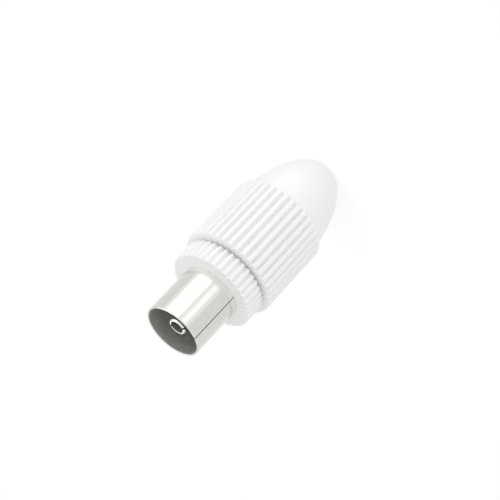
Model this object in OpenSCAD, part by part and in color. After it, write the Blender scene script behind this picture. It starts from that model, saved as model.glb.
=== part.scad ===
// Coaxial aerial connector, female, with a screwed plastic housing.
// It stands on its tail: the axis is Z, the mouth of the shell points up,
// and the origin is the centre of the flat tail rim. Sizes are in millimetres.

/* [Contact shell] */
// Inside diameter of the shell, the standard size of the mating plug's sleeve
shell_bore_d = 9.5; // [9:0.05:10]
// Thickness of the rolled sheet
shell_wall = 0.3; // [0.25:0.05:0.4]
// Length of shell that stands out of the collar
shell_reach = 9.8; // [8:0.1:12]
// Width of the open seam
seam_gap = 0.16; // [0.1:0.02:0.3]
// Direction of the seam about the axis
seam_angle = 230; // [0:1:360]
// Width of the turned-out rim at the rear end
shell_flange_w = 0.5; // [0.4:0.05:0.6]
// Length of each rolled bead that traps the insulator
bead_len = 0.8; // [0.6:0.1:1.2]
// Depth of each rolled bead
bead_depth = 0.3; // [0.2:0.05:0.35]
// Distance from the collar's face back to the middle of the front bead
bead_inset = 1; // [0.6:0.1:1.6]
// Diameter of the window over the clamp screw
window_d = 3.2; // [2.8:0.1:3.6]
// Bevel on the edge of the mouth
mouth_bevel = 0.08; // [0.04:0.02:0.12]

/* [Collar] */
// Diameter over the collar's ribs
collar_d = 15; // [14:0.1:16]
// Thickness of the collar
collar_len = 3.9; // [3.2:0.1:4.5]
// Length of the screwed neck behind the collar
neck_len = 5.5; // [5:0.1:6.5]
// Wall of the neck at the root of its thread
neck_wall = 0.7; // [0.6:0.05:1]
// Bevel on the front edge of the collar
collar_front_bevel = 0.1; // [0.05:0.05:0.25]
// Bevel on the tips of the collar's ribs, next to the sleeve
collar_tip_bevel = 0.3; // [0.1:0.05:0.35]
// Length of plain shank that enters the sleeve ahead of the thread
shank_len = 1; // [0.8:0.1:1.4]

/* [Ribs] */
// Number of ribs round the collar and round the grip
rib_count = 38; // [30:1:42]
// Depth of the grooves between the grip's ribs
grip_rib_depth = 0.7; // [0.5:0.02:0.8]
// Depth of the grooves between the collar's ribs
collar_rib_depth = 0.46; // [0.36:0.02:0.56]
// Depth of the collar's grooves at their rear ends, where they flare
flare_depth = 0.7; // [0.6:0.02:0.8]
// Length of collar over which the grooves flare
flare_len = 1.3; // [0.8:0.1:1.6]
// Share of the pitch left at the rear tip of a collar rib
flare_tip_share = 0.1; // [0.08:0.01:0.2]
// Share of the pitch taken by the top of a rib
rib_crest_share = 0.45; // [0.38:0.01:0.5]
// Share of the pitch taken by the floor between two ribs
rib_floor_share = 0.1; // [0.06:0.01:0.2]
// Direction of the first rib about the axis
rib_phase = 6.65; // [0:0.05:9.4]

/* [Rear sleeve] */
// Diameter over the ribs at the front of the grip
grip_d = 16.8; // [16.2:0.1:18]
// Length of the ribbed grip
grip_len = 13.5; // [12.5:0.1:16]
// Diameter that the grip loses towards its rear end
grip_draft = 0.15; // [0.05:0.05:0.4]
// Bevel on the ribs' ends at the dome
grip_rear_bevel = 0.15; // [0.1:0.05:0.35]
// Bevel on the ribs' ends at the collar
grip_front_bevel = 0.35; // [0.1:0.05:0.45]
// Diameter of the smooth dome where the ribs end
dome_d = 14.9; // [14:0.1:15.5]
// Length of the dome
dome_len = 11.6; // [10.5:0.1:13]
// Radius of the dome's long side curve
dome_side_r = 28; // [24:1:34]
// Lean of the dome's side where the ribs end
dome_lean = 4; // [3:0.5:6]
// Lean of the dome's side where the tighter nose curve takes over
nose_lean = 17; // [15:0.5:21]
// Width of the flat rim round the cable hole
tail_rim = 0.55; // [0.4:0.05:0.8]
// Diameter of the cable hole
cable_hole_d = 5.2; // [4.8:0.1:5.8]
// Length of the cable hole
cable_hole_len = 3; // [2:0.1:4]
// Ledge where the cable hole opens into the clamping cone
cone_ledge = 0.6; // [0.4:0.05:0.8]
// Length of plain bore between the neck and the clamping cone
clamp_bore_len = 3.6; // [3:0.1:4.5]
// Height of the screw thread, which is left plain here
thread_depth = 0.4; // [0.3:0.05:0.5]

/* [Braid clamp] */
// Number of fingers
finger_count = 6; // [4:2:8]
// Length of the clamp
clamp_len = 11.2; // [9.5:0.1:12]
// Thickness of the clamp's wall
clamp_wall = 0.45; // [0.35:0.05:0.6]
// Thickness of the clamp's flange
clamp_flange_len = 0.5; // [0.4:0.05:0.7]
// Width of the flange beyond the clamp's barrel
clamp_flange_w = 0.25; // [0.15:0.05:0.4]
// Length of whole barrel ahead of the slots
clamp_ring_len = 2.6; // [2:0.1:3.4]
// Width of the slot between two fingers
finger_slot = 0.9; // [0.6:0.1:1.2]
// Thickness of the claw at the tip of a finger
claw_len = 0.5; // [0.4:0.05:0.7]
// Gap between the claws and the cable hole's diameter line
claw_rise = 0.15; // [0.1:0.05:0.3]

/* [Insulator] */
// Length of the insulator's disc
insulator_len = 4; // [3.2:0.1:4.5]
// Length of the boss in front of the disc
insulator_boss_len = 0.8; // [0.4:0.1:1.2]
// Wall of the boss round the centre contact
insulator_boss_wall = 1.1; // [0.8:0.1:1.4]

/* [Centre contact] */
// Outside diameter of the socket
contact_d = 3.2; // [3.1:0.05:3.5]
// Bore of the socket, which grips the mating pin
socket_d = 2.35; // [2.2:0.05:2.5]
// Depth of the socket
socket_depth = 9.2; // [8:0.1:9.6]
// Distance from the shell's mouth in to the tip of the socket
contact_recess = 1.1; // [0.6:0.1:1.8]
// Width of the cut that splits the socket
slit_w = 0.35; // [0.25:0.05:0.5]
// Length of the cut that splits the socket
slit_len = 7.2; // [6:0.1:7.6]
// Direction of the cut about the axis
slit_angle = 50; // [0:1:180]
// Round on the tip of the socket
tip_round = 0.2; // [0.1:0.05:0.3]
// Width of the shoulder that stops against the insulator
shoulder_w = 0.75; // [0.5:0.05:1]
// Length of the shoulder
shoulder_len = 0.8; // [0.6:0.1:1]
// Diameter of the terminal that takes the cable's conductor
terminal_d = 3.8; // [3.6:0.1:4.2]
// Length of the terminal
terminal_len = 3.1; // [2.8:0.1:3.6]
// Diameter of the conductor hole
conductor_d = 1.2; // [1:0.1:1.4]

/* [Contact screw] */
// Diameter of the clamp screw
screw_d = 1.6; // [1.4:0.1:1.8]
// Diameter of the screw's head
screw_head_d = 2.6; // [2.4:0.1:2.8]
// Height of the screw's head
screw_head_len = 0.9; // [0.7:0.1:1.1]
// Width of the driver slot
driver_slot_w = 0.4; // [0.3:0.05:0.5]
// Depth of the driver slot
driver_slot_len = 0.45; // [0.3:0.05:0.55]
// Gap under the head of the open screw
screw_lift = 0.3; // [0.2:0.05:0.5]

/* [Clearances] */
// Gap between pieces that are held still in one another
seat_clear = 0.05; // [0.03:0.01:0.08]
// Gap between the turning clamp and the sleeve
turn_clear = 0.1; // [0.08:0.01:0.15]
// Gap between a pressed piece and its hole
press_clear = 0.02; // [0.01:0.01:0.03]
// Gap over the crests of the screw thread
thread_clear = 0.05; // [0.03:0.01:0.1]
// Gap left between the collar and the sleeve when the housing is screwed up
collar_gap = 0.3; // [0.1:0.05:0.4]

/* [Hidden] */
$fn = 96;
// Overlap that keeps cutting bodies clear of the faces that they cut
cut = 1;

// Heights along the axis, from the tail to the mouth
grip_z = dome_len;
front_z = grip_z + grip_len;
collar_z = front_z + collar_gap;
face_z = collar_z + collar_len;
mouth_z = face_z + shell_reach;
neck_z = collar_z - neck_len;
shank_z = front_z - shank_len;
flange_z = neck_z - shell_wall;
front_bead_z = face_z - bead_inset;
insulator_top_z = front_bead_z - bead_len / 2 - seat_clear;
insulator_z = insulator_top_z - insulator_len;
rear_bead_z = insulator_z - bead_len / 2 - seat_clear;
shoulder_z = insulator_z - shoulder_len;
terminal_z = shoulder_z - terminal_len;
screw_z = terminal_z + terminal_len / 2;
tip_z = mouth_z - contact_recess;
thread_floor_z = flange_z + shell_wall / 2;

// Radii, from the shell outwards
shell_in_r = shell_bore_d / 2;
shell_out_r = shell_in_r + shell_wall;
flange_r = shell_out_r + shell_flange_w;
collar_bore_r = shell_out_r + seat_clear;
neck_r = collar_bore_r + neck_wall;
shank_r = neck_r + thread_depth;
thread_bore_r = shank_r + thread_clear;
clamp_flange_r = flange_r + turn_clear;
clamp_bore_r = clamp_flange_r + turn_clear;
clamp_r = clamp_flange_r - clamp_flange_w;
cable_r = cable_hole_d / 2;
tail_r = cable_r + tail_rim;

// Clamping cone inside the sleeve
cone_r = cable_r + cone_ledge;
cone_z = cable_hole_len;
cone_top_z = neck_z - clamp_bore_len;
cone_slope = (clamp_bore_r - cone_r) / (cone_top_z - cone_z);
function cone_radius(z) = cone_r + (z - cone_z) * cone_slope;

// Dome outline: a long side curve and a nose curve that meets it smoothly
dome_r = dome_d / 2;
side_centre = [dome_r - dome_side_r * cos(dome_lean), grip_z + dome_side_r * sin(dome_lean)];
nose_normal = [cos(nose_lean), -sin(nose_lean)];
nose_start = side_centre + dome_side_r * nose_normal;
nose_chord = [tail_r, 0] - nose_start;
nose_r = -(nose_chord * nose_chord) / (2 * (nose_chord * nose_normal));
nose_centre = nose_start - nose_r * nose_normal;

// Point at a distance and a direction from the axis
function polar(r, angle) = [r * cos(angle), r * sin(angle)];

// Ribs: the flanks run on past the crest, which the turned outline cuts
rib_pitch = 360 / rib_count;
rib_over_share = 0.35;
rib_foot = rib_pitch * (1 - rib_floor_share) / 2;
rib_crest = rib_pitch * rib_crest_share / 2;
rib_point = rib_crest - (rib_foot - rib_crest) * rib_over_share;
function rib(angle, crest_r, depth) =
    let(floor_r = crest_r - depth, point_r = crest_r + depth * rib_over_share) [
        polar(floor_r, angle - rib_foot),
        polar(point_r, angle - rib_point),
        polar(point_r, angle + rib_point),
        polar(floor_r, angle + rib_foot)
    ];
function rib_outline(crest_r, depth) = [
    for (i = [0 : rib_count - 1]) each rib(i * rib_pitch + rib_phase, crest_r, depth)
];

// Ribbed disc from z = 0, with its crest radius and its bevel at each end
module ribbed(rear_r, rear_bevel, front_r, front_bevel, depth, len) {
    intersection() {
        linear_extrude(len) polygon(rib_outline(front_r, depth));
        rotate_extrude() polygon([
            [0, 0],
            [rear_r - rear_bevel, 0],
            [rear_r, rear_bevel],
            [front_r, len - front_bevel],
            [front_r - front_bevel, len],
            [0, len]
        ]);
    }
}

// Wedge that flares the rear end of one groove of a disc that starts at z = 0, on the +X side
module groove_flare(crest_r) {
    floor_r = crest_r - flare_depth;
    floor_w = floor_r * sin(rib_pitch * rib_floor_share / 2);
    crest_w = crest_r * sin(rib_pitch * (1 - flare_tip_share) / 2);
    top_h = flare_depth * (1 + rib_over_share);
    top_w = floor_w + (crest_w - floor_w) * (1 + rib_over_share);
    tilt = atan((flare_depth - collar_rib_depth) / flare_len);
    translate([floor_r, 0, 0])
        rotate([0, tilt, 0])
            translate([0, 0, -cut])
                linear_extrude(flare_len + 2 * cut)
                    polygon([[0, -floor_w], [top_h, -top_w], [top_h, top_w], [0, floor_w]]);
}

// Half section of the dome, from the tail rim to the ribs
module dome_section() {
    intersection() {
        translate(side_centre) circle(dome_side_r);
        translate([0, nose_start[1]]) square([dome_r + cut, grip_z - nose_start[1]]);
    }
    intersection() {
        translate(nose_centre) circle(nose_r);
        square([dome_r + cut, nose_start[1]]);
    }
}

// Half section of the hollow inside the sleeve, from the cable hole to the screwed mouth
module sleeve_hollow_section() {
    polygon([
        [0, -cut],
        [cable_r, -cut],
        [cable_r, cone_z],
        [cone_r, cone_z],
        [clamp_bore_r, cone_top_z],
        [clamp_bore_r, thread_floor_z],
        [thread_bore_r, thread_floor_z],
        [thread_bore_r, front_z + cut],
        [0, front_z + cut]
    ]);
}

// One moulding: ribbed grip, smooth dome and cable hole
module rear_sleeve() {
    color("white") difference() {
        union() {
            rotate_extrude() dome_section();
            translate([0, 0, grip_z])
                ribbed((grip_d - grip_draft) / 2, grip_rear_bevel, grip_d / 2, grip_front_bevel,
                       grip_rib_depth, grip_len);
        }
        rotate_extrude() sleeve_hollow_section();
    }
}

// Turned brass clamp whose fingers close on the cable as the housing is screwed up
module braid_clamp() {
    barrel_end_z = cone_z + (clamp_r + turn_clear - cone_r) / cone_slope;
    claw_z = flange_z - clamp_len;
    claw_r = cable_r + claw_rise;
    claw_root_z = claw_z + 2 * claw_len;
    slot_z = flange_z - clamp_ring_len;
    color("goldenrod") difference() {
        rotate_extrude() polygon([
            [clamp_r - clamp_wall, flange_z],
            [clamp_flange_r, flange_z],
            [clamp_flange_r, flange_z - clamp_flange_len],
            [clamp_r, flange_z - clamp_flange_len],
            [clamp_r, barrel_end_z],
            [cone_radius(claw_z) - turn_clear, claw_z],
            [claw_r, claw_z],
            [claw_r, claw_z + claw_len],
            [cone_radius(claw_root_z) - turn_clear - clamp_wall, claw_root_z],
            [clamp_r - clamp_wall, barrel_end_z]
        ]);
        for (i = [0 : finger_count / 2 - 1])
            rotate(i * 360 / finger_count)
                translate([-clamp_flange_r, -finger_slot / 2, claw_z - cut])
                    cube([2 * clamp_flange_r, finger_slot, slot_z - claw_z + cut]);
    }
}

// Ribbed disc of the collar, whose grooves flare towards the sleeve and leave a tip on each rib
module collar_disc() {
    collar_r = collar_d / 2;
    difference() {
        ribbed(collar_r, collar_tip_bevel, collar_r, collar_front_bevel, collar_rib_depth, collar_len);
        for (i = [0 : rib_count - 1])
            rotate((i + 0.5) * rib_pitch + rib_phase) groove_flare(collar_r);
    }
}

// One moulding: ribbed collar and the neck that screws into the sleeve
module collar_body() {
    color("white") difference() {
        union() {
            translate([0, 0, collar_z]) collar_disc();
            rotate_extrude() polygon([
                [0, neck_z],
                [neck_r - thread_depth, neck_z],
                [neck_r, neck_z + thread_depth],
                [neck_r, shank_z - thread_depth],
                [shank_r, shank_z],
                [shank_r, collar_z + cut],
                [0, collar_z + cut]
            ]);
        }
        translate([0, 0, neck_z - cut]) cylinder(r = collar_bore_r, h = mouth_z);
    }
}

// Inward bead on a wall of radius r, as outline points from below to above
function bead(z, r) = [
    [r, z - bead_len / 2],
    [r - bead_depth, z - bead_len / 4],
    [r - bead_depth, z + bead_len / 4],
    [r, z + bead_len / 2]
];
function reversed(points) = [for (i = [len(points) - 1 : -1 : 0]) points[i]];

// Rolled nickel sheet with an open seam, two beads and a turned-out rear rim
module contact_shell() {
    outside = concat(
        [[flange_r, flange_z], [flange_r, neck_z], [shell_out_r, neck_z]],
        bead(rear_bead_z, shell_out_r),
        bead(front_bead_z, shell_out_r),
        [[shell_out_r, mouth_z - mouth_bevel], [shell_out_r - mouth_bevel, mouth_z]]
    );
    inside = concat(
        [[shell_in_r, flange_z]],
        bead(rear_bead_z, shell_in_r),
        bead(front_bead_z, shell_in_r),
        [[shell_in_r, mouth_z - mouth_bevel], [shell_in_r + mouth_bevel, mouth_z]]
    );
    color("silver") difference() {
        rotate_extrude() polygon(concat(outside, reversed(inside)));
        rotate(seam_angle)
            translate([0, -seam_gap / 2, flange_z - cut])
                cube([flange_r + cut, seam_gap, mouth_z - flange_z + 2 * cut]);
        screw_pose() cylinder(d = window_d, h = flange_r + cut);
    }
}

// Moulded disc that carries the centre contact
module insulator() {
    disc_r = shell_in_r - seat_clear;
    boss_r = contact_d / 2 + insulator_boss_wall;
    color("whitesmoke") difference() {
        union() {
            translate([0, 0, insulator_z]) cylinder(r = disc_r, h = insulator_len);
            translate([0, 0, insulator_z]) cylinder(r = boss_r, h = insulator_len + insulator_boss_len);
        }
        translate([0, 0, insulator_z - cut])
            cylinder(r = contact_d / 2 + press_clear, h = insulator_len + insulator_boss_len + 2 * cut);
    }
}

// Turned split socket with a shoulder and a screw terminal
module centre_contact() {
    contact_r = contact_d / 2;
    terminal_r = terminal_d / 2;
    color("silver") difference() {
        rotate_extrude() polygon([
            [0, terminal_z],
            [terminal_r, terminal_z],
            [terminal_r, shoulder_z],
            [contact_r + shoulder_w, shoulder_z],
            [contact_r + shoulder_w, insulator_z],
            [contact_r, insulator_z],
            [contact_r, tip_z - tip_round],
            [contact_r - tip_round, tip_z],
            [0, tip_z]
        ]);
        translate([0, 0, tip_z - socket_depth]) cylinder(d = socket_d, h = socket_depth + cut);
        rotate(slit_angle)
            translate([-contact_d, -slit_w / 2, tip_z - slit_len])
                cube([2 * contact_d, slit_w, slit_len + cut]);
        translate([0, 0, terminal_z - cut]) cylinder(d = conductor_d, h = terminal_len + cut);
        screw_pose() cylinder(d = screw_d + 2 * press_clear, h = terminal_d);
    }
}

// Places a child that points along +Z on the clamp screw's axis, opposite the seam
module screw_pose() {
    translate([0, 0, screw_z]) rotate([0, 90, seam_angle + 180]) children();
}

// Slotted screw that clamps the cable's conductor in the terminal
module contact_screw() {
    end_x = conductor_d / 2;
    head_x = terminal_d / 2 + screw_lift;
    top_x = head_x + screw_head_len;
    color("silver") screw_pose() difference() {
        union() {
            translate([0, 0, end_x]) cylinder(d = screw_d, h = top_x - end_x);
            translate([0, 0, head_x]) cylinder(d = screw_head_d, h = screw_head_len);
        }
        translate([-driver_slot_w / 2, -screw_head_d, top_x - driver_slot_len])
            cube([driver_slot_w, 2 * screw_head_d, driver_slot_len + cut]);
    }
}

rear_sleeve();
braid_clamp();
collar_body();
contact_shell();
insulator();
centre_contact();
contact_screw();
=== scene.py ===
"""Looks of a coaxial aerial connector that stands on its tail, mouth up."""
import math

import bpy
from mathutils import Matrix, Vector


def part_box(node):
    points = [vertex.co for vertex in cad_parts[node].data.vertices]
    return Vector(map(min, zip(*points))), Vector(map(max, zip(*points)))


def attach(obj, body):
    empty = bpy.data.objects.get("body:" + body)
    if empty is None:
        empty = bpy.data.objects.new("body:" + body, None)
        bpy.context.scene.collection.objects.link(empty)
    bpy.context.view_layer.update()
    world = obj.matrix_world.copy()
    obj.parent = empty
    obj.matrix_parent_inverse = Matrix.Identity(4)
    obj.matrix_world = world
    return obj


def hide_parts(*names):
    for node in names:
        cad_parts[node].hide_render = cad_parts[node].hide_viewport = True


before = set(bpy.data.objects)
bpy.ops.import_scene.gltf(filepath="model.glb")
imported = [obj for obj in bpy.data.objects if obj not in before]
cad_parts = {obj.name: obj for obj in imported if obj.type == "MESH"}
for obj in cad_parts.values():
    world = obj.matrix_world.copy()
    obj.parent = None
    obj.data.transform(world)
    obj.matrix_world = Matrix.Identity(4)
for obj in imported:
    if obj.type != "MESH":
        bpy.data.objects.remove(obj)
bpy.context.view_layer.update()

MM = 0.001

# The photograph's frame and view: place of the mouth's centre, slant of the axis,
# scale at the mouth and distance of the camera
IMAGE_SIZE = 500
MOUTH_PIXEL = (172.4, 331.9)
AXIS_SLANT = math.radians(46.71)
PIXELS_PER_MM = 6.427
VIEW_ELEVATION = math.radians(27.93)
CAMERA_DISTANCE = 350 * MM
SENSOR = 36.0
NEAREST_SEEN = 10 * MM

# Light: a white surround, its share as fill light, a pale floor and the lamps' places and sizes
WHITE = (1, 1, 1, 1)
SURROUND = 1.0
FILL = 0.86
FLOOR_RADIUS = 60 * MM
FLOOR_GLOW = 0.3
FLOOR_COLOUR = (0.8, 0.8, 0.8, 1)
LAMP_DISTANCE = 300 * MM
LAMP_SIZE = 300 * MM
MAIN_WIDTH = 700 * MM
KEY_SIZE = 150 * MM
STRIP_ELEVATION = -33
GLOW_ELEVATION = 32

# Heights along the axis, in millimetres: lengths as in the part's source, ends from the frame
GRIP_LEN = 13.5
COLLAR_LEN = 3.9
SHANK_LEN = 1.0
SHELL_WALL = 0.3
CLAMP_BORE_LEN = 3.6
MOUTH_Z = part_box("contact_shell")[1][2] / MM
FACE_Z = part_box("collar_body")[1][2] / MM
NECK_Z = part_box("collar_body")[0][2] / MM
FRONT_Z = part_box("rear_sleeve")[1][2] / MM
GRIP_Z = FRONT_Z - GRIP_LEN
COLLAR_Z = FACE_Z - COLLAR_LEN
SHANK_Z = FRONT_Z - SHANK_LEN
TIP_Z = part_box("centre_contact")[1][2] / MM
THREAD_FLOOR_Z = NECK_Z - SHELL_WALL / 2
CONE_Z = 3.0
CONE_TOP_Z = NECK_Z - CLAMP_BORE_LEN

# Radii, depths and lengths of the two mouldings, in millimetres
COLLAR_R = 7.5
COLLAR_BEVEL = 0.1
COLLAR_TIP_ROUND = 0.75
COLLAR_RIB_DEPTH = 0.46
FLARE_DEPTH = 1.0
FLARE_FLOOR_ROUND = 0.1
FLARE_LEN = 1.3
FLARE_TIP_SHARE = 0.1
GRIP_R = 8.4
GRIP_REAR_R = 8.325
GRIP_BEVEL = 0.15
GRIP_FRONT_ROUND = 0.35
GRIP_RIB_DEPTH = 0.7
DOME_R = 7.45
TAIL_R = 3.15
CABLE_R = 2.6
CONE_R = 3.2
CLAMP_BORE_R = 5.75
SHELL_R = 5.05
COLLAR_BORE_R = 5.1
NECK_R = 5.8
THREAD_DEPTH = 0.4
THREAD_CLEAR = 0.05
SHANK_R = NECK_R + THREAD_DEPTH
THREAD_BORE_R = SHANK_R + THREAD_CLEAR
THREAD_PITCH = 1.25
LIP_LEN = 0.3
LIP_CLEAR = 0.005

# Rounds on the mouldings' corners, in millimetres, and the bend from which an edge is sharp
FINE_ROUND = 0.02
EDGE_ROUND = 0.05
BEVEL_ROUND = 0.06
FOOT_ROUND = 0.08
LEDGE_ROUND = 0.1
RIM_ROUND = 0.12
CONE_ROUND = 0.3
SHARP_ANGLE = math.radians(38)

# Outline of the dome: a long side curve and a nose curve that meets it smoothly
DOME_SIDE_R = 28.0
DOME_LEAN = math.radians(4.0)
NOSE_LEAN = math.radians(17.0)
NOSE_STEPS = 16
SIDE_STEPS = 14

# Ribs: shares of the pitch for the crest, the floor and the rounding of the edges
RIB_COUNT = 38
RIB_PHASE = math.radians(6.65)
CREST_SHARE = 0.45
FLOOR_SHARE = 0.1
EDGE_SHARE = 0.05

# Thread: rows of points on a pitch, and shares of the pitch for the crest, the foot,
# the rounding of the edges and the fading ends
THREAD_ROWS = 16
THREAD_CREST = 0.12
THREAD_FOOT = 0.36
THREAD_EDGE = 0.04
THREAD_FADE = 0.6

# Finish and painted light on the metal, in millimetres: the shell's inside, its band over the
# collar's face with a painted reflection of the collar, its worn band there, the socket's hole with
# painted shade and its end with a painted highlight
SHELL_INSIDE_R = 4.85
PAINTED_REFLECTION_BAND = (FACE_Z + 0.5, FACE_Z + 1.5)
WORN_BAND = (FACE_Z + 1.0, FACE_Z + 2.2)
SOCKET_HOLE_R = 1.18
SOCKET_HIGHLIGHT_BAND = (TIP_Z - 0.06, TIP_Z - 0.02)

# Colours and roughness of those places
# Painted reflection of the collar's white face on the shell, paler than the plate
PAINTED_REFLECTION_PLATE = (0.87, 0.87, 0.85)
INSIDE_PLATE = (0.65, 0.65, 0.63)
# Painted highlight on the socket's end
SOCKET_HIGHLIGHT_PLATE = (0.95, 0.95, 0.93)
# Painted shade in the socket's hole
SOCKET_HOLE_SHADE_PLATE = (0.36, 0.35, 0.32)
WORN_ROUGH = 0.25
INSIDE_ROUGH = 0.5
SOCKET_HOLE_ROUGH = 0.7

# Range in which most of a noise texture's values lie
NOISE_RANGE = (0.3, 0.7)


def make_camera():
    """Camera that sees the mouth at its place in the photograph.

    The connector's axis slants down to the left there, with the mouth at its lower end.
    """
    to_camera = Vector((0, -math.cos(VIEW_ELEVATION), math.sin(VIEW_ELEVATION)))
    right = Vector((1, 0, 0))
    up = to_camera.cross(right)
    roll = -(math.pi / 2 + AXIS_SLANT)
    image_right = right * math.cos(roll) + up * math.sin(roll)
    image_up = up * math.cos(roll) - right * math.sin(roll)
    pixel = MM / PIXELS_PER_MM
    mouth = Vector((0, 0, MOUTH_Z * MM))
    offset_x = (MOUTH_PIXEL[0] - IMAGE_SIZE / 2) * pixel
    offset_y = (IMAGE_SIZE / 2 - MOUTH_PIXEL[1]) * pixel
    place = mouth + to_camera * CAMERA_DISTANCE - image_right * offset_x - image_up * offset_y
    data = bpy.data.cameras.new("photo_camera")
    data.sensor_width = SENSOR
    data.lens = SENSOR * PIXELS_PER_MM / MM * CAMERA_DISTANCE / IMAGE_SIZE
    data.clip_start = NEAREST_SEEN
    camera = bpy.data.objects.new("photo_camera", data)
    axes = Matrix((image_right, image_up, to_camera)).transposed()
    camera.matrix_world = Matrix.Translation(place) @ axes.to_4x4()
    bpy.context.scene.collection.objects.link(camera)
    bpy.context.scene.camera = camera


class Nodes:
    """Short way to add and join the nodes of one tree."""

    # Places of a mix node's sockets when it mixes colours
    MIX_SHARE = 0
    MIX_FIRST = 6
    MIX_SECOND = 7
    MIX_RESULT = 2

    def __init__(self, tree):
        self.tree = tree
        tree.nodes.clear()

    def add(self, kind, **inputs):
        node = self.tree.nodes.new(kind)
        for name, value in inputs.items():
            self.set(node, name.replace("_", " "), value)
        return node

    def set(self, node, name, value):
        socket = node.inputs[name]
        if isinstance(value, bpy.types.NodeSocket):
            self.tree.links.new(value, socket)
        else:
            socket.default_value = value

    def math(self, operation, *values):
        node = self.tree.nodes.new("ShaderNodeMath")
        node.operation = operation
        for index, value in enumerate(values):
            self.set(node, index, value)
        return node.outputs[0]

    def place(self):
        """Coordinates of the piece in its own frame, in metres."""
        return self.add("ShaderNodeTexCoord").outputs["Object"]

    def noise(self, scale, detail=2.0):
        """Noise with its own number of grains per millimetre along x, y and z."""
        mapping = self.add("ShaderNodeMapping", Vector=self.place())
        mapping.inputs["Scale"].default_value = [s / MM for s in scale]
        texture = self.add("ShaderNodeTexNoise", Vector=mapping.outputs[0])
        self.set(texture, "Scale", 1.0)
        self.set(texture, "Detail", detail)
        return texture.outputs["Fac"]

    def spread(self, value, low, high):
        """Takes noise, which stays near 0.5, to a range of its own."""
        node = self.add("ShaderNodeMapRange", Value=value)
        node.inputs["From Min"].default_value = NOISE_RANGE[0]
        node.inputs["From Max"].default_value = NOISE_RANGE[1]
        node.inputs["To Min"].default_value = low
        node.inputs["To Max"].default_value = high
        return node.outputs[0]

    def colours(self, value, first, second):
        """Colour between two, by a value from 0 to 1."""
        ramp = self.add("ShaderNodeValToRGB", Fac=value)
        ramp.color_ramp.elements[0].color = (*first, 1)
        ramp.color_ramp.elements[1].color = (*second, 1)
        return ramp.outputs["Color"]

    def blend(self, value, first, second):
        """Colour from one socket, taken towards a plain colour by a value from 0 to 1."""
        node = self.add("ShaderNodeMix")
        node.data_type = "RGBA"
        self.set(node, self.MIX_SHARE, value)
        self.set(node, self.MIX_FIRST, first)
        self.set(node, self.MIX_SECOND, (*second, 1))
        return node.outputs[self.MIX_RESULT]

    def axis_distance(self):
        """Distance from the connector's axis, in metres."""
        parts = self.add("ShaderNodeSeparateXYZ", Vector=self.place())
        x_square = self.math("POWER", parts.outputs["X"], 2.0)
        y_square = self.math("POWER", parts.outputs["Y"], 2.0)
        return self.math("SQRT", self.math("ADD", x_square, y_square))

    def height(self):
        """Height along the connector's axis, in metres."""
        return self.add("ShaderNodeSeparateXYZ", Vector=self.place()).outputs["Z"]

    def below(self, low, high):
        """1 below the first height, in millimetres along the axis, and 0 above the second."""
        node = self.add("ShaderNodeMapRange", Value=self.height())
        node.interpolation_type = "SMOOTHSTEP"
        node.inputs["From Min"].default_value = low * MM
        node.inputs["From Max"].default_value = high * MM
        node.inputs["To Min"].default_value = 1.0
        node.inputs["To Max"].default_value = 0.0
        return node.outputs[0]

    def bump(self, height, distance):
        """Bump of a given depth in millimetres."""
        node = self.add("ShaderNodeBump", Height=height, Strength=1.0)
        self.set(node, "Distance", distance * MM)
        return node.outputs[0]

    def finish(self, shader):
        self.add("ShaderNodeOutputMaterial", Surface=shader.outputs[0])


def new_material(name):
    material = bpy.data.materials.new(name)
    material.use_nodes = True
    return material, Nodes(material.node_tree)


def white_plastic():
    """Satin white moulding with a very fine grain and a faint flow of the melt."""
    material, nodes = new_material("white_plastic")
    flow = nodes.noise((0.25, 0.25, 0.08))
    grain = nodes.noise((9, 9, 9), 3.0)
    colour = nodes.colours(nodes.spread(flow, 0, 1), (0.875, 0.875, 0.872), (0.89, 0.89, 0.888))
    rough = nodes.spread(grain, 0.3, 0.42)
    shader = nodes.add("ShaderNodeBsdfPrincipled", Base_Color=colour, Roughness=rough)
    nodes.set(shader, "Normal", nodes.bump(grain, 0.002))
    nodes.finish(shader)
    return material


def nickel_shell():
    """Bright plate over rolled sheet, with fine rolling lines.

    It is dull inside the tube and worn next to the collar, where its plate is also paler as a painted
    reflection of the collar's white face.
    """
    material, nodes = new_material("nickel_shell")
    inside = nodes.math("LESS_THAN", nodes.axis_distance(), SHELL_INSIDE_R * MM)
    lines = nodes.noise((0.4, 0.4, 26), 3.0)
    cloud = nodes.noise((0.5, 0.5, 0.5))
    plate = nodes.colours(nodes.spread(cloud, 0, 1), (0.665, 0.665, 0.633), (0.645, 0.645, 0.613))
    # Painted reflection: the plate turns paler next to the collar's face
    with_painted_reflection = nodes.blend(nodes.below(*PAINTED_REFLECTION_BAND), plate, PAINTED_REFLECTION_PLATE)
    colour = nodes.blend(inside, with_painted_reflection, INSIDE_PLATE)
    bright = nodes.spread(lines, 0.1, 0.16)
    worn = nodes.math("MULTIPLY", nodes.below(*WORN_BAND), WORN_ROUGH)
    dull = nodes.math("MAXIMUM", worn, nodes.math("MULTIPLY", inside, INSIDE_ROUGH))
    rough = nodes.math("MAXIMUM", bright, dull)
    shader = nodes.add("ShaderNodeBsdfPrincipled", Base_Color=colour, Metallic=1.0)
    nodes.set(shader, "Roughness", rough)
    nodes.set(shader, "Normal", nodes.bump(lines, 0.0003))
    nodes.finish(shader)
    return material


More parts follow.
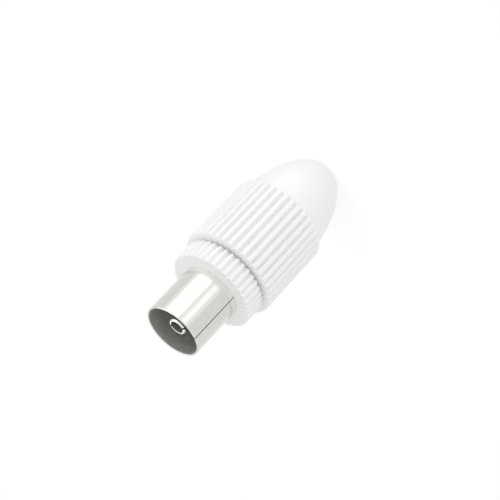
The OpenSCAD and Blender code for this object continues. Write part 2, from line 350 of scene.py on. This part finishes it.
def turned_metal(name, dark, light, rough, lines_per_mm, depth, hollow_r=0.0):
    """Turned piece with fine tool lines round the axis.

    A socket, which has a hollow radius, also has a painted highlight on its end and painted shade in
    its dull hole.
    """
    material, nodes = new_material(name)
    lines = nodes.noise((0.6, 0.6, lines_per_mm), 3.0)
    stain = nodes.noise((0.8, 0.8, 0.8))
    colour = nodes.colours(nodes.spread(stain, 0, 1), dark, light)
    roughness = nodes.spread(lines, *rough)
    if hollow_r:
        # Painted highlight: the socket's end turns near white
        below_highlight = nodes.below(*SOCKET_HIGHLIGHT_BAND)
        colour = nodes.blend(nodes.math("SUBTRACT", 1.0, below_highlight), colour, SOCKET_HIGHLIGHT_PLATE)
        inside = nodes.math("LESS_THAN", nodes.axis_distance(), hollow_r * MM)
        dull = nodes.math("MULTIPLY", inside, SOCKET_HOLE_ROUGH)
        roughness = nodes.math("MAXIMUM", roughness, dull)
        # Painted shade: the hole turns dark grey
        colour = nodes.blend(inside, colour, SOCKET_HOLE_SHADE_PLATE)
    shader = nodes.add("ShaderNodeBsdfPrincipled", Base_Color=colour, Metallic=1.0)
    nodes.set(shader, "Roughness", roughness)
    nodes.set(shader, "Normal", nodes.bump(lines, depth))
    nodes.finish(shader)
    return material


def insulator_plastic():
    """Natural moulding, a little cloudy, with a dull grain."""
    material, nodes = new_material("insulator_plastic")
    cloud = nodes.noise((0.7, 0.7, 0.7), 3.0)
    grain = nodes.noise((14, 14, 14), 3.0)
    colour = nodes.colours(nodes.spread(cloud, 0, 1), (0.8, 0.79, 0.755), (0.85, 0.84, 0.81))
    shader = nodes.add("ShaderNodeBsdfPrincipled", Base_Color=colour)
    nodes.set(shader, "Roughness", nodes.spread(grain, 0.42, 0.58))
    nodes.set(shader, "Normal", nodes.bump(grain, 0.004))
    nodes.finish(shader)
    return material


def lerp(a, b, share):
    return a + (b - a) * share


def eased_ramp(x, width):
    """0 below zero and x above it, with a round bend of that half width."""
    if x <= -width:
        return 0.0
    if x >= width:
        return x
    return (x + width) ** 2 / (4 * width)


def ridge(x, crest, foot, edge):
    """Height at a distance x from the middle: 1 on the crest, 0 at the foot, with round edges."""
    fall = eased_ramp(x - crest, edge) - eased_ramp(x - foot, edge)
    return 1 - fall / (foot - crest)


def rib_columns(crest_share=CREST_SHARE):
    """Direction and height of each column of points, close together at the ribs' edges."""
    crest = crest_share / 2
    foot = (1 - FLOOR_SHARE) / 2
    half = [0.0]
    for bend in (crest, foot):
        half += [bend + EDGE_SHARE * step for step in (-1, -1 / 3, 1 / 3, 1)]
    half[-1] = 0.5
    offsets = half + [1 - x for x in reversed(half[1:-1])]
    columns = []
    for i in range(RIB_COUNT):
        for x in offsets:
            angle = (i + x) * math.tau / RIB_COUNT + RIB_PHASE
            columns.append((angle, ridge(min(x, 1 - x), crest, foot, EDGE_SHARE)))
    return columns


COLUMNS = rib_columns()


def round_corners(points, radii, steps=4):
    """Open outline with round corners, each made of the same number of points."""
    rounded = [points[0]]
    for before, corner, after, radius in zip(points, points[1:], points[2:], radii[1:]):
        back = (before - corner).normalized()
        ahead = (after - corner).normalized()
        if radius == 0:
            rounded.append(corner)
            continue
        start = corner + back * radius
        end = corner + ahead * radius
        for i in range(steps + 1):
            t = i / steps
            rounded.append(start * (1 - t) ** 2 + corner * 2 * t * (1 - t) + end * t ** 2)
    rounded.append(points[-1])
    return rounded


def crest_share_at(z):
    """Share of the pitch that a crest takes: the collar's ribs narrow to a tip at the sleeve."""
    if not COLLAR_Z <= z < COLLAR_Z + FLARE_LEN:
        return CREST_SHARE
    return lerp(FLARE_TIP_SHARE, CREST_SHARE, (z - COLLAR_Z) / FLARE_LEN)


def rings_of(section):
    """Rings of points along the rows of a half section.

    A row is the crest's radius, the floor's radius, the height and the corner's radius.
    A fifth value is the floor's own corner radius.
    """
    crest_line = [Vector((row[0], row[2])) for row in section]
    floor_line = [Vector((row[1], row[2])) for row in section]
    crest = round_corners(crest_line, [row[3] for row in section])
    floor = round_corners(floor_line, [row[-1] for row in section])
    rings = []
    for c, f in zip(crest, floor):
        ring = []
        for angle, high in rib_columns(crest_share_at(c.y)):
            ring.append((angle, lerp(f.x, c.x, high), lerp(f.y, c.y, high)))
        rings.append(ring)
    return rings


def plain(radius, height, corner=0.0):
    """Row of a section where the ribs don't reach."""
    return (radius, radius, height, corner)


def thread_rings(z_from, z_to, root_r, height, phase):
    """Rings of a right-hand screw thread, which fades out at both ends. The phase is in turns."""
    count = round(abs(z_to - z_from) / THREAD_PITCH * THREAD_ROWS)
    rings = []
    for i in range(count + 1):
        z = lerp(z_from, z_to, i / count)
        from_end = min(abs(z - z_from), abs(z - z_to)) / THREAD_PITCH
        full = min(1.0, from_end / THREAD_FADE)
        ring = []
        for angle, _ in COLUMNS:
            turn = z / THREAD_PITCH - angle / math.tau + phase
            from_crest = abs(turn - round(turn))
            rise = ridge(from_crest, THREAD_CREST, THREAD_FOOT, THREAD_EDGE)
            ring.append((angle, root_r + height * full * rise, z))
        rings.append(ring)
    return rings


def closed_mesh(name, rings, material, body, node):
    """Piece made of rings of points, each joined to the next one and the last to the first."""
    points = []
    for ring in rings:
        for angle, radius, z in ring:
            points.append((radius * math.cos(angle) * MM, radius * math.sin(angle) * MM, z * MM))
    width = len(COLUMNS)
    faces = []
    for i in range(len(rings)):
        here = i * width
        there = (i + 1) % len(rings) * width
        for j in range(width):
            k = (j + 1) % width
            faces.append((here + j, here + k, there + k, there + j))
    mesh = bpy.data.meshes.new(name)
    mesh.from_pydata(points, [], faces)
    mesh.shade_smooth()
    mesh.set_sharp_from_angle(angle=SHARP_ANGLE)
    mesh.materials.append(material)
    piece = bpy.data.objects.new(name, mesh)
    bpy.context.scene.collection.objects.link(piece)
    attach(piece, body)
    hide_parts(node)


def arc_points(centre, radius, start, end, steps):
    """Points on a circle between two directions, in radians, without the ends."""
    points = []
    for i in range(1, steps):
        angle = lerp(start, end, i / steps)
        points.append((centre.x + radius * math.cos(angle), centre.y + radius * math.sin(angle)))
    return points


def dome_rows():
    """Rows from the tail rim's outer edge to the foot of the ribs."""
    side_normal = Vector((math.cos(DOME_LEAN), -math.sin(DOME_LEAN)))
    nose_normal = Vector((math.cos(NOSE_LEAN), -math.sin(NOSE_LEAN)))
    side_centre = Vector((DOME_R, GRIP_Z)) - side_normal * DOME_SIDE_R
    nose_start = side_centre + nose_normal * DOME_SIDE_R
    chord = Vector((TAIL_R, 0)) - nose_start
    nose_r = -chord.dot(chord) / (2 * chord.dot(nose_normal))
    nose_centre = nose_start - nose_normal * nose_r
    rim = Vector((TAIL_R, 0)) - nose_centre
    nose = arc_points(nose_centre, nose_r, math.atan2(rim.y, rim.x), -NOSE_LEAN, NOSE_STEPS)
    side = arc_points(side_centre, DOME_SIDE_R, -NOSE_LEAN, -DOME_LEAN, SIDE_STEPS)
    return [plain(*point) for point in nose + [tuple(nose_start)] + side]


def make_sleeve(material):
    """Ribbed grip, smooth dome and the hollow with its screw thread, one moulding.

    Its outline starts and ends on the tail's flat rim.
    """
    floor_r = GRIP_R - GRIP_RIB_DEPTH
    rim_start_r = CABLE_R + 0.2
    rim_end_r = CABLE_R + 0.15
    thread_top = SHANK_Z - 0.05
    thread_end = THREAD_FLOOR_Z + 0.25
    below_thread = THREAD_FLOOR_Z + 0.2
    outside = [
        plain(rim_start_r, 0),
        plain(TAIL_R, 0, RIM_ROUND),
        *dome_rows(),
        plain(DOME_R, GRIP_Z, FOOT_ROUND),
        (GRIP_REAR_R - GRIP_BEVEL, floor_r, GRIP_Z, FINE_ROUND),
        (GRIP_REAR_R, floor_r, GRIP_Z + GRIP_BEVEL, LEDGE_ROUND),
        (lerp(GRIP_REAR_R, GRIP_R, 0.5), floor_r, lerp(GRIP_Z, FRONT_Z, 0.5), 0),
        (GRIP_R, floor_r, FRONT_Z, GRIP_FRONT_ROUND),
        plain(THREAD_BORE_R, FRONT_Z, BEVEL_ROUND),
        plain(THREAD_BORE_R, SHANK_Z),
    ]
    thread = thread_rings(thread_top, thread_end, THREAD_BORE_R, -THREAD_DEPTH, phase=0.5)
    inside = [
        plain(THREAD_BORE_R, below_thread),
        plain(THREAD_BORE_R, THREAD_FLOOR_Z, FOOT_ROUND),
        plain(CLAMP_BORE_R, THREAD_FLOOR_Z, BEVEL_ROUND),
        plain(CLAMP_BORE_R, CONE_TOP_Z, CONE_ROUND),
        plain(CONE_R, CONE_Z, LEDGE_ROUND),
        plain(CABLE_R, CONE_Z, LEDGE_ROUND),
        plain(CABLE_R, 0, RIM_ROUND),
        plain(rim_end_r, 0),
    ]
    rings = rings_of(outside) + thread + rings_of(inside)
    closed_mesh("sleeve_moulding", rings, material, "rear_half", "rear_sleeve")


def make_collar(material):
    """Ribbed collar and the neck with its screw thread, one moulding.

    Its outline starts and ends on the collar's face.
    """
    floor_r = COLLAR_R - COLLAR_RIB_DEPTH
    flare_r = COLLAR_R - FLARE_DEPTH
    lip_r = SHELL_R + LIP_CLEAR
    lip_z = FACE_Z - LIP_LEN
    face_start_r = COLLAR_BORE_R + 0.2
    neck_top = SHANK_Z - THREAD_DEPTH
    above_thread = neck_top - 0.1
    thread_top = neck_top - 0.12
    thread_end = NECK_Z + THREAD_DEPTH
    below_thread = thread_end - 0.02
    front = [
        plain(face_start_r, FACE_Z),
        (COLLAR_R - COLLAR_BEVEL, floor_r, FACE_Z, EDGE_ROUND),
        (COLLAR_R, floor_r, FACE_Z - COLLAR_BEVEL, BEVEL_ROUND),
        (COLLAR_R, floor_r, COLLAR_Z + FLARE_LEN, FINE_ROUND),
        (COLLAR_R, flare_r, COLLAR_Z, COLLAR_TIP_ROUND, FLARE_FLOOR_ROUND),
        plain(SHANK_R, COLLAR_Z, EDGE_ROUND),
        plain(SHANK_R, SHANK_Z, EDGE_ROUND),
        plain(NECK_R, neck_top, EDGE_ROUND),
        plain(NECK_R, above_thread),
    ]
    thread = thread_rings(thread_top, thread_end, NECK_R, THREAD_DEPTH, phase=0.0)
    inside = [
        plain(NECK_R, below_thread),
        plain(NECK_R - THREAD_DEPTH, NECK_Z, EDGE_ROUND),
        plain(COLLAR_BORE_R, NECK_Z, EDGE_ROUND),
        plain(COLLAR_BORE_R, lip_z),
        plain(lip_r, lip_z),
        plain(lip_r, FACE_Z),
    ]
    rings = rings_of(front) + thread + rings_of(inside)
    rings.reverse()
    closed_mesh("collar_moulding", rings, material, "front_half", "collar_body")


def seen_directly(nodes):
    """1 for rays that come from the camera or from a mirror or clear surface, else 0."""
    path = nodes.add("ShaderNodeLightPath")
    glossy = nodes.math("MAXIMUM", path.outputs["Is Camera Ray"], path.outputs["Is Glossy Ray"])
    return nodes.math("MAXIMUM", glossy, path.outputs["Is Transmission Ray"])


def make_world():
    """White surround that also fills the shadows."""
    world = bpy.data.worlds.new("studio")
    world.use_nodes = True
    nodes = Nodes(world.node_tree)
    strength = nodes.math("MULTIPLY_ADD", seen_directly(nodes), SURROUND - FILL, FILL)
    background = nodes.add("ShaderNodeBackground", Color=WHITE, Strength=strength)
    nodes.add("ShaderNodeOutputWorld", Surface=background.outputs[0])
    world.cycles.sampling_method = "NONE"
    bpy.context.scene.world = world


def make_floor():
    """Pale round floor that keeps the shadow and is as white as the surround elsewhere."""
    corners = 96
    mesh = bpy.data.meshes.new("floor")
    points = []
    for i in range(corners):
        angle = math.tau * i / corners
        points.append((FLOOR_RADIUS * math.cos(angle), FLOOR_RADIUS * math.sin(angle), 0))
    mesh.from_pydata(points, [], [range(corners)])
    floor = bpy.data.objects.new("floor", mesh)
    bpy.context.scene.collection.objects.link(floor)
    material, nodes = new_material("floor_white")
    glow = nodes.math("MULTIPLY", seen_directly(nodes), FLOOR_GLOW)
    emission = nodes.add("ShaderNodeEmission", Color=WHITE, Strength=glow)
    diffuse = nodes.add("ShaderNodeBsdfDiffuse", Color=FLOOR_COLOUR)
    both = nodes.add("ShaderNodeAddShader")
    nodes.set(both, 0, diffuse.outputs[0])
    nodes.set(both, 1, emission.outputs[0])
    nodes.finish(both)
    mesh.materials.append(material)
    floor.visible_glossy = False
    floor.visible_diffuse = False
    floor.visible_shadow = False


def softbox(name, azimuth, elevation, width, height, radiance):
    """Rectangular lamp that faces the middle of the object. Azimuth 0 is the camera's side."""
    a = math.radians(azimuth)
    e = math.radians(elevation)
    outward = Vector((math.sin(a) * math.cos(e), -math.cos(a) * math.cos(e), math.sin(e)))
    data = bpy.data.lights.new(name, "AREA")
    data.shape = "RECTANGLE"
    data.size = width
    data.size_y = height
    data.energy = radiance * math.pi * width * height
    lamp = bpy.data.objects.new(name, data)
    lamp.location = Vector((0, 0, MOUTH_Z * MM / 2)) + outward * LAMP_DISTANCE
    lamp.rotation_mode = "QUATERNION"
    lamp.rotation_quaternion = outward.to_track_quat("Z", "Y")
    lamp.visible_camera = False
    bpy.context.scene.collection.objects.link(lamp)
    return lamp


def strip_light(name, first, last, radiance):
    """Tall softbox between two azimuths, which only shows as a reflection."""
    width = 2 * LAMP_DISTANCE * math.tan(math.radians(last - first) / 2)
    lamp = softbox(name, (first + last) / 2, STRIP_ELEVATION, width, LAMP_SIZE, radiance)
    lamp.visible_diffuse = False


def make_lamps():
    """Broad light from the left, and lamps that only show as reflections.

    The glows light the inside of the shell, and the strips draw the bright lines along it.
    """
    main = softbox("main", azimuth=20, elevation=6, width=MAIN_WIDTH, height=LAMP_SIZE, radiance=0.36)
    main.visible_glossy = False
    key = softbox("key", azimuth=45, elevation=5, width=KEY_SIZE, height=KEY_SIZE, radiance=0.5)
    key.visible_glossy = False
    softbox("front", azimuth=60, elevation=50, width=LAMP_SIZE, height=LAMP_SIZE, radiance=0.2)
    for name, azimuth, radiance in (("left_glow", 85, 0.6), ("right_glow", -85, 0.25)):
        glow = softbox(name, azimuth, GLOW_ELEVATION, LAMP_SIZE, LAMP_SIZE, radiance)
        glow.visible_diffuse = False
    strip_light("wide_strip", first=24, last=74, radiance=0.9)
    strip_light("wide_strip_edge", first=24, last=88, radiance=0.2)
    strip_light("narrow_strip", first=-13, last=5, radiance=0.3)
    strip_light("narrow_strip_edge", first=-25, last=24, radiance=0.2)


def dress(node, material):
    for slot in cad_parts[node].material_slots:
        slot.material = material


make_camera()
make_world()
make_floor()
make_lamps()

plastic = white_plastic()
make_sleeve(plastic)
make_collar(plastic)
dress("contact_shell", nickel_shell())
dress("insulator", insulator_plastic())
dress("centre_contact", turned_metal(
    "nickel_contact", dark=(0.54, 0.54, 0.51), light=(0.6, 0.6, 0.57),
    rough=(0.14, 0.24), lines_per_mm=22, depth=0.0006, hollow_r=SOCKET_HOLE_R))
dress("contact_screw", turned_metal(
    "screw_steel", dark=(0.58, 0.58, 0.57), light=(0.68, 0.68, 0.67),
    rough=(0.25, 0.4), lines_per_mm=16, depth=0.001))
dress("braid_clamp", turned_metal(
    "clamp_brass", dark=(0.68, 0.5, 0.22), light=(0.8, 0.64, 0.34),
    rough=(0.16, 0.3), lines_per_mm=18, depth=0.001))

bpy.context.scene.view_settings.view_transform = "Standard"
